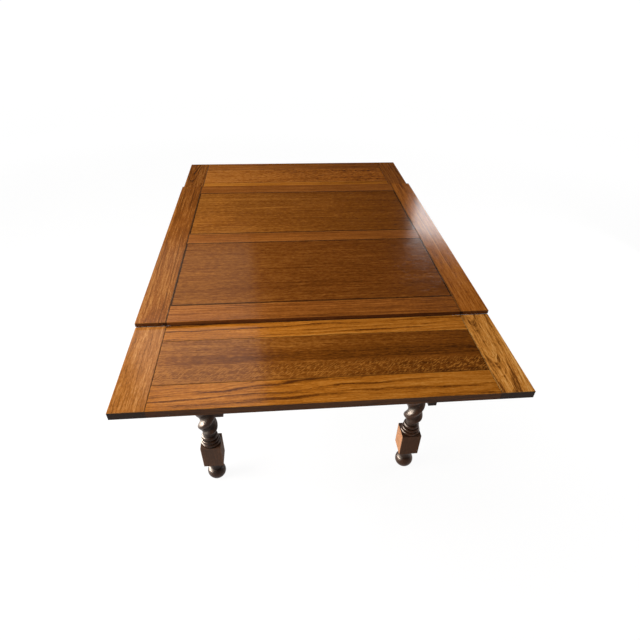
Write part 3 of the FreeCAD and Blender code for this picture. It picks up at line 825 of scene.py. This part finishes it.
def open_sides(face, outline):
    """A face's box, with the sides on the outline moved far out, because no joint is there."""
    moved = []
    for corner, rims, far in zip(face, outline, (-1.0, 1.0)):
        sides = zip(corner, rims)
        moved.append([side + far if abs(side - rim) < MILLIMETRE else side for side, rim in sides])
    return moved


def finish_boards(context, boards, panels, edge_stain):
    """Puts varnished oak on framed boards; panels gives the rails in front of and behind each panel."""
    left, right = (next(node for node in boards if node.endswith("stile_" + side)) for side in SIDES)
    lows, highs = zip(*(plan_box(node) for node in boards))
    outline = [min(side) for side in zip(*lows)], [max(side) for side in zip(*highs)]
    for node, board in boards.items():
        low, high = plan_box(node)
        if node not in (left, right):
            low[0], high[0] = plan_box(left)[1][0], plan_box(right)[0][0]
        if node in panels:
            front, back = panels[node]
            low[1], high[1] = plan_box(front)[1][1], plan_box(back)[0][1]
        sight = open_sides((low, high), outline)
        dress(node, top_board(context, node, board, sight, edge_stain))


# New pieces

PEG_SIDES = 10
PEG_TURN_BY_HEIGHT = 0.4
PEG_TURN_BY_SIDE = 0.9
STRIP_ROUNDING = 1 / 12


def add_object(context, name, shape, material):
    """Makes an object of a bmesh."""
    mesh = bpy.data.meshes.new(name)
    shape.to_mesh(mesh)
    shape.free()
    mesh.materials.append(material)
    made = bpy.data.objects.new(name, mesh)
    context.scene.collection.objects.link(made)
    return made


def peg_head(shape, sizes, place, axis, spin):
    """The end of one peg: a few-sided rod, as cut by hand, with a worn rim."""
    turn = axis.to_track_quat("Z", "X").to_matrix().to_4x4()
    head = bmesh.ops.create_cone(
        shape, cap_ends=True, segments=PEG_SIDES, radius1=sizes.diameter / 2, radius2=sizes.diameter / 2,
        depth=sizes.depth, matrix=Matrix.Translation(place) @ turn @ Matrix.Rotation(spin, 4, "Z"),
    )
    tip = place + axis * sizes.depth / 2
    outer = {corner for corner in head["verts"] if abs((corner.co - tip).dot(axis)) < 0.01 * MILLIMETRE}
    rim = [edge for edge in shape.edges if outer.issuperset(edge.verts)]
    bmesh.ops.bevel(shape, geom=rim, offset=sizes.rim, affect="EDGES", segments=2, profile=0.5, material=-1)


def leg_pegs(shape, sizes, end, side):
    """The pegs of one leg: two on each outer face, near the leg's inner side."""
    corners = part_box(f"leg_{end}_{side}")
    signs = (1 if side == "right" else -1, 1 if end == "back" else -1)
    for face, other in ((0, 1), (1, 0)):
        outer = corners[1 if signs[face] > 0 else 0][face]
        inner = corners[0 if signs[other] > 0 else 1][other]
        axis = Vector()
        axis[face] = signs[face]
        for step, height in enumerate((sizes.low, sizes.high)):
            place = Vector((0, 0, height))
            place[face] = outer + signs[face] * (sizes.proud - sizes.depth / 2)
            place[other] = inner + signs[other] * (sizes.inset + step * sizes.stagger)
            spin = PEG_TURN_BY_HEIGHT * step + PEG_TURN_BY_SIDE * signs[face]
            peg_head(shape, sizes, place, axis, spin)


def moved_corners(made):
    """The corners among what an extrusion made."""
    return [item for item in made["geom"] if isinstance(item, bmesh.types.BMVert)]


def fold_strip(start, end, run, thick):
    """A strip of cloth: a line between two points run along the table, thickened and softened."""
    shape = bmesh.new()
    line = shape.edges.new([shape.verts.new(point) for point in (start, end)])
    made = bmesh.ops.extrude_edge_only(shape, edges=[line])
    bmesh.ops.translate(shape, vec=run, verts=moved_corners(made))
    sheet = shape.faces[:] + shape.edges[:] + shape.verts[:]
    made = bmesh.ops.extrude_face_region(shape, geom=sheet, use_keep_orig=True)
    bmesh.ops.translate(shape, vec=thick, verts=moved_corners(made))
    bmesh.ops.recalc_face_normals(shape, faces=shape.faces)
    bmesh.ops.bevel(
        shape, geom=shape.edges[:], offset=thick.length * STRIP_ROUNDING, affect="EDGES", segments=1,
        profile=0.5, material=-1,
    )
    return shape


class FinishCentreTop(bpy.types.Operator):
    """Varnishes the loose centre top's stiles, rails and panels"""

    bl_idname = "draw_leaf_table.finish_centre_top"
    bl_label = "Finish centre top"

    def execute(self, context):
        panels = {
            "top_panel_front": ("top_rail_front", "top_rail_middle"),
            "top_panel_back": ("top_rail_middle", "top_rail_back"),
        }
        finish_boards(context, TOP_BOARDS, panels, context.scene.oak_figure.top_edge_stain)
        return {"FINISHED"}


class FinishLeaves(bpy.types.Operator):
    """Varnishes both leaves' stiles, rails and panels"""

    bl_idname = "draw_leaf_table.finish_leaves"
    bl_label = "Finish leaves"

    def execute(self, context):
        for end in ENDS:
            leaf = f"leaf_{end}_"
            boards = {node: board for node, board in LEAF_BOARDS.items() if node.startswith(leaf)}
            rails = (leaf + "rail_outer", leaf + "rail_inner")
            panels = {leaf + "panel": rails if end == "front" else rails[::-1]}
            finish_boards(context, boards, panels, context.scene.oak_figure.leaf_edge_stain)
        return {"FINISHED"}


class FinishLegs(bpy.types.Operator):
    """Polishes the four barley twist legs"""

    bl_idname = "draw_leaf_table.finish_legs"
    bl_label = "Finish legs"

    def execute(self, context):
        for row, end in enumerate(ENDS):
            for column, side in enumerate(SIDES):
                node = f"leg_{end}_{side}"
                # The right legs carry the painted light from the left
                bleach = 1.0 if side == "right" else 0.0
                cut = sawn(LEG, seed=80.5 + 4 * row + 9 * column)
                dress(node, leg_oak(context, node, cut, bleach))
        return {"FINISHED"}


class FinishFrameRails(bpy.types.Operator):
    """Polishes the rails between the legs"""

    bl_idname = "draw_leaf_table.finish_frame_rails"
    bl_label = "Finish frame rails"

    def execute(self, context):
        rails = [(f"side_rail_{side}", "Y") for side in SIDES] + [(f"end_rail_{end}", "X") for end in ENDS]
        for count, (node, grain) in enumerate(rails):
            cut = sawn(RIFT, seed=101.3 + 3.7 * count)
            dress(node, plain_oak(context, node + "_oak", node, grain, "leg", cut, RAIL_POLISH))
        return {"FINISHED"}


class FinishInnerWood(bpy.types.Operator):
    """Leaves the bearers, centre board, braces and pegs as planed wood, and stains the lopers"""

    bl_idname = "draw_leaf_table.finish_inner_wood"
    bl_label = "Finish inner wood"

    def execute(self, context):
        planed = {"centre_board": "X", "guide_peg_pins": "X"}
        planed.update({f"bearer_{end}": "X" for end in ENDS})
        planed.update({f"guide_peg_{side}": "Z" for side in SIDES})
        planed.update({f"corner_brace_{end}_{side}": "X" for end, side in CORNERS})
        planed.update({f"leaf_{end}_stop_pegs": "X" for end in ENDS})
        for count, (node, grain) in enumerate(planed.items()):
            cut = sawn(RIFT, seed=131.7 + 5.3 * count)
            dress(node, plain_oak(context, node + "_wood", node, grain, "inner", cut, PLANED))
        for row, end in enumerate(ENDS):
            for column, side in enumerate(SIDES):
                node = f"leaf_{end}_loper_{side}"
                cut = sawn(RIFT, seed=211.7 + 5.3 * row + 2.9 * column)
                dress(node, plain_oak(context, node + "_wood", node, "Y", "leg", cut, LOPER_POLISH))
        return {"FINISHED"}


class FinishScrews(bpy.types.Operator):
    """Gives the screws their dulled steel"""

    bl_idname = "draw_leaf_table.finish_screws"
    bl_label = "Finish screws"

    def execute(self, context):
        steel = dulled_steel(context.scene.oak_colours)
        for group in ("centre_board", "corner_brace", "leaf_front_loper", "leaf_back_loper"):
            dress(group + "_screws", steel)
        return {"FINISHED"}


class AddJointPegs(bpy.types.Operator):
    """Models the pegs that lock the rails' tenons in the legs"""

    bl_idname = "draw_leaf_table.add_joint_pegs"
    bl_label = "Add joint pegs"

    def execute(self, context):
        shape = bmesh.new()
        for end, side in CORNERS:
            leg_pegs(shape, context.scene.peg_sizes, end, side)
        bmesh.ops.recalc_face_normals(shape, faces=shape.faces)
        cut = sawn(RIFT, seed=301.7)
        oak = plain_oak(context, "joint_peg_oak", "leg_front_left", "X", "leg", cut, PEG_POLISH)
        pegs = add_object(context, "joint_pegs", shape, oak)
        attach(pegs, "frame")
        return {"FINISHED"}


class AddSeamBaize(bpy.types.Operator):
    """Models the baize under the loose top's ends and on the leaves' inner edges, dark strips that fill the
    seams as painted shade
    """

    bl_idname = "draw_leaf_table.add_seam_baize"
    bl_label = "Add seam baize"

    def execute(self, context):
        sizes = context.scene.baize_sizes
        cloth = seam_shade_baize(context.scene.oak_colours)
        left = -sizes.half_length
        run = Vector((2 * sizes.half_length, 0, 0))
        for end, out in zip(ENDS, (-1, 1)):
            low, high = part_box(f"top_rail_{end}")
            edge = low.y if out < 0 else high.y
            slope = (high.z - low.z - sizes.edge_thick) / (high.y - low.y)
            under = high.z - sizes.edge_thick
            lip = Vector((left, edge + out * sizes.lip, under - sizes.thick))
            back = Vector((left, edge - out * sizes.width, under - sizes.thick - slope * sizes.width))
            shape = fold_strip(lip, back, run, Vector((0, 0, sizes.thick)))
            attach(add_object(context, f"top_baize_{end}", shape, cloth), "centre_top")

            low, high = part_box(f"leaf_{end}_rail_inner")
            edge = high.y if out < 0 else low.y
            foot = Vector((left, edge, low.z))
            head = Vector((left, edge, high.z + sizes.nap))
            shape = fold_strip(foot, head, run, Vector((0, -out * sizes.edge_cloth, 0)))
            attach(add_object(context, f"leaf_baize_{end}", shape, cloth), f"leaf_{end}")
        return {"FINISHED"}


# Stage: places and sizes are in metres

class Lamp(NamedTuple):
    """A rectangular lamp: width and height, place, what it faces and tint."""

    size: tuple
    place: tuple
    target: tuple
    tint: tuple = (1, 1, 1)


LAMPS = {
    "key": Lamp((1.4, 1.2), (-1.75, -0.5, 2.0), (0, -0.1, 0.75)),
    "window": Lamp((0.85, 0.85), (1.95, 3.6, 2.15), (0.42, 0.2, 0.76)),
    "sheen": Lamp((3.0, 2.5), (-1.9, 3.6, 4.95), (-1.9, 0, 4.95)),
    "haze": Lamp((3.0, 1.1), (-1.9, 3.6, 3.15), (-1.9, 0, 3.15), linear(255, 236, 214)),
    "low": Lamp((1.2, 0.5), (-2.4, -0.9, 0.5), (0.2, -0.35, 0.2), linear(255, 222, 186)),
    "fill": Lamp((1.6, 0.5), (2.4, 0.3, 0.5), (0, 0.1, 0.35)),
    "gleam": Lamp((2.6, 0.6), (-2.4, -0.1, 0.32), (0, -0.1, 0.32), linear(255, 238, 220)),
}
ROUND = 64
FLOOR_RADIUS = 60
FLOOR_COLOUR = linear(222, 222, 222)
FLOOR_SEEN_COLOUR = (0.1, 0.1, 0.1)
FLOOR_SEEN_GLOW = 0.93
WALL_RADIUS = 4.2
WALL_HEIGHT = 7.4
WALL_MIDDLE = 4.9
WALL_COLOUR = (0.03, 0.025, 0.02, 1)
SENSOR_WIDTH = 36
VIEW_END = 200


def seen(tree):
    """1 for rays that see the background: straight, mirrored or through glass."""
    path = add(tree, "ShaderNodeLightPath").outputs
    straight = calc(tree, "MAXIMUM", path["Is Camera Ray"], path["Is Glossy Ray"])
    return calc(tree, "MAXIMUM", straight, path["Is Transmission Ray"])


def lay_floor(context):
    """A pale floor that looks white and keeps the table's shadow."""
    pale = bpy.data.materials.new("pale_floor")
    pale.use_nodes = True
    tree = pale.node_tree
    tree.nodes.clear()
    view = seen(tree)
    matt = add(tree, "ShaderNodeBsdfDiffuse", {"Color": mix(tree, view, FLOOR_COLOUR, FLOOR_SEEN_COLOUR)})
    glow = add(tree, "ShaderNodeEmission", {"Strength": times(tree, view, FLOOR_SEEN_GLOW)})
    both = add(tree, "ShaderNodeAddShader", {0: matt.outputs[0], 1: glow.outputs[0]})
    add(tree, "ShaderNodeOutputMaterial", {"Surface": both.outputs[0]})
    shape = bmesh.new()
    bmesh.ops.create_circle(shape, cap_ends=True, segments=ROUND, radius=FLOOR_RADIUS)
    add_object(context, "floor", shape, pale)


def stand_wall(context):
    """A dark wall round the table, out of the camera's sight, which the varnish mirrors."""
    dark, tree, shader = new_material("dark_wall")
    paint(tree, shader, WALL_COLOUR, 1.0)
    shape = bmesh.new()
    bmesh.ops.create_cone(
        shape, cap_ends=False, segments=ROUND, radius1=WALL_RADIUS, radius2=WALL_RADIUS, depth=WALL_HEIGHT,
        matrix=Matrix.Translation((0, 0, WALL_MIDDLE)),
    )
    wall = add_object(context, "dark_wall", shape, dark)
    wall.visible_camera = False


def hang_lamp(context, name, watts, how):
    """A rectangular lamp that the camera doesn't see."""
    light = bpy.data.lights.new(name, "AREA")
    light.shape = "RECTANGLE"
    light.size, light.size_y = how.size
    light.energy = watts
    light.color = how.tint
    made = bpy.data.objects.new(name, light)
    made.location = how.place
    ahead = Vector(how.target) - Vector(how.place)
    made.rotation_euler = ahead.to_track_quat("-Z", "Y").to_euler()
    made.visible_camera = False
    context.scene.collection.objects.link(made)
    return made


def light_table(context):
    """Hangs the lamps; gleam serves only the gloss of the legs."""
    studio = context.scene.studio
    lamps = {}
    for name, how in LAMPS.items():
        lamps[name] = hang_lamp(context, name, getattr(studio, name + "_power"), how)
    polished = bpy.data.collections.new("polished_legs")
    for end, side in CORNERS:
        polished.objects.link(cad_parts[f"leg_{end}_{side}"])
    lamps["gleam"].visible_diffuse = False
    lamps["gleam"].light_linking.receiver_collection = polished


def light_sky(context):
    """An even world that looks white."""
    world = bpy.data.worlds.new("studio")
    world.use_nodes = True
    context.scene.world = world
    tree = world.node_tree
    tree.nodes.clear()
    strength = calc(tree, "MAXIMUM", seen(tree), context.scene.studio.sky)
    back = add(tree, "ShaderNodeBackground", {"Color": (1, 1, 1, 1), "Strength": strength})
    add(tree, "ShaderNodeOutputWorld", {"Surface": back.outputs[0]})


def set_camera(context):
    """Puts the camera where the photograph's stood."""
    studio = context.scene.studio
    eye = bpy.data.cameras.new("eye")
    eye.lens = studio.lens
    eye.sensor_width = SENSOR_WIDTH
    eye.shift_y = studio.shift_up
    eye.clip_end = VIEW_END
    camera = bpy.data.objects.new("eye", eye)
    ahead = Vector((
        math.sin(studio.yaw) * math.cos(studio.pitch),
        math.cos(studio.yaw) * math.cos(studio.pitch),
        -math.sin(studio.pitch),
    ))
    level = ahead.cross(Vector((0, 0, 1))).normalized()
    right = level * math.cos(studio.roll) + level.cross(ahead) * math.sin(studio.roll)
    turn = Matrix((right, right.cross(ahead), -ahead)).transposed().to_4x4()
    camera.matrix_world = Matrix.Translation(studio.eye) @ turn
    context.scene.collection.objects.link(camera)
    context.scene.camera = camera


class SetStage(bpy.types.Operator):
    """Sets the floor, the dark wall that the varnish mirrors, the lights and the camera"""

    bl_idname = "draw_leaf_table.set_stage"
    bl_label = "Set stage"

    def execute(self, context):
        context.scene.view_settings.view_transform = "Standard"
        lay_floor(context)
        stand_wall(context)
        light_table(context)
        light_sky(context)
        set_camera(context)
        return {"FINISHED"}


class TablePanel(bpy.types.Panel):
    """The table's steps and settings"""

    bl_idname = "VIEW3D_PT_draw_leaf_table"
    bl_label = "Draw-leaf table"
    bl_space_type = "VIEW_3D"
    bl_region_type = "UI"
    bl_category = "Table"

    def draw(self, context):
        for step in STEPS:
            self.layout.operator(step.bl_idname)
        for name, kind in SETTINGS.items():
            box = self.layout.box()
            box.label(text=kind.__doc__)
            for prop in kind.__annotations__:
                box.prop(getattr(context.scene, name), prop)


STEPS = (
    FinishCentreTop, FinishLeaves, FinishLegs, FinishFrameRails, FinishInnerWood, FinishScrews, AddJointPegs,
    AddSeamBaize, SetStage,
)
SETTINGS = {
    "oak_colours": OakColours,
    "oak_figure": OakFigure,
    "peg_sizes": PegSizes,
    "baize_sizes": BaizeSizes,
    "studio": StudioSettings,
}


def register():
    for made in (*SETTINGS.values(), *STEPS, TablePanel):
        bpy.utils.register_class(made)
    for name, kind in SETTINGS.items():
        setattr(bpy.types.Scene, name, bpy.props.PointerProperty(type=kind))


def unregister():
    for name in SETTINGS:
        delattr(bpy.types.Scene, name)
    for made in reversed((*SETTINGS.values(), *STEPS, TablePanel)):
        bpy.utils.unregister_class(made)


def main():
    """Runs every step."""
    register()
    for step in STEPS:
        group, name = step.bl_idname.split(".")
        getattr(getattr(bpy.ops, group), name)()


if __name__ == "__main__":
    main()
